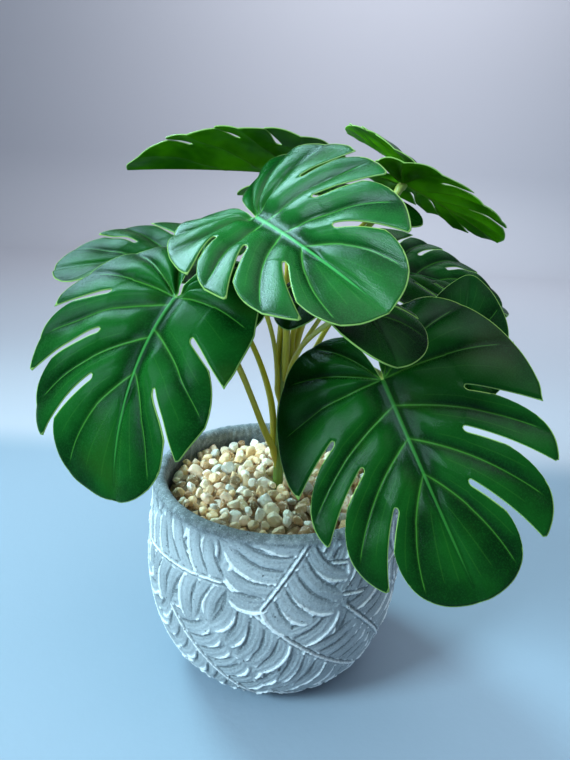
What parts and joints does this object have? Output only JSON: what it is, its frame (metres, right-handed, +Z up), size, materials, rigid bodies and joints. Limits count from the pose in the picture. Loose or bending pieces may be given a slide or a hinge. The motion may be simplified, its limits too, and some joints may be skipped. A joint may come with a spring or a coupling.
{
  "type": "monstera leaf bouquet",
  "caption": "Standing bouquet of split heart-shaped monstera leaves on slender stems, rising from a pebble bed in a round embossed cement pot.",
  "frame": {"origin": "centre of the pot's flat base, on the surface it stands on", "axes": "+Z up along the pot's axis, -Y towards the front of the bouquet, +X to the right seen from the front"},
  "size_m": [0.2001, 0.1576, 0.2341],
  "materials": {
    "pot": "rough cast cement",
    "foam": "matt foam",
    "pebbles": "tumbled",
    "main_stem": "satin moulded",
    "petiole": "satin moulded",
    "leaf": "coated satin gloss"
  },
  "bodies": {
    "root": {"pot": "pot", "foam_block": "foam", "pebble_bed": "pebbles", "main_stem": "main_stem", "petiole_front_right": "petiole", "leaf_front_right": "leaf", "petiole_front_top": "petiole", "leaf_front_top": "leaf", "petiole_front_left": "petiole", "leaf_front_left": "leaf", "petiole_top_left": "petiole", "leaf_top_left": "leaf", "petiole_top_right": "petiole", "leaf_top_right": "leaf", "petiole_top_back": "petiole", "leaf_top_back": "leaf", "petiole_back_right": "petiole", "leaf_back_right": "leaf", "petiole_back_left": "petiole", "leaf_back_left": "leaf", "petiole_right_small": "petiole", "leaf_right_small": "leaf", "petiole_centre_small": "petiole", "leaf_centre_small": "leaf", "petiole_under_small": "petiole", "leaf_under_small": "leaf", "petiole_inner_small": "petiole", "leaf_inner_small": "leaf", "petiole_left_small": "petiole", "leaf_left_small": "leaf", "petiole_top_small": "petiole", "leaf_top_small": "leaf"}
  },
  "joints": []
}
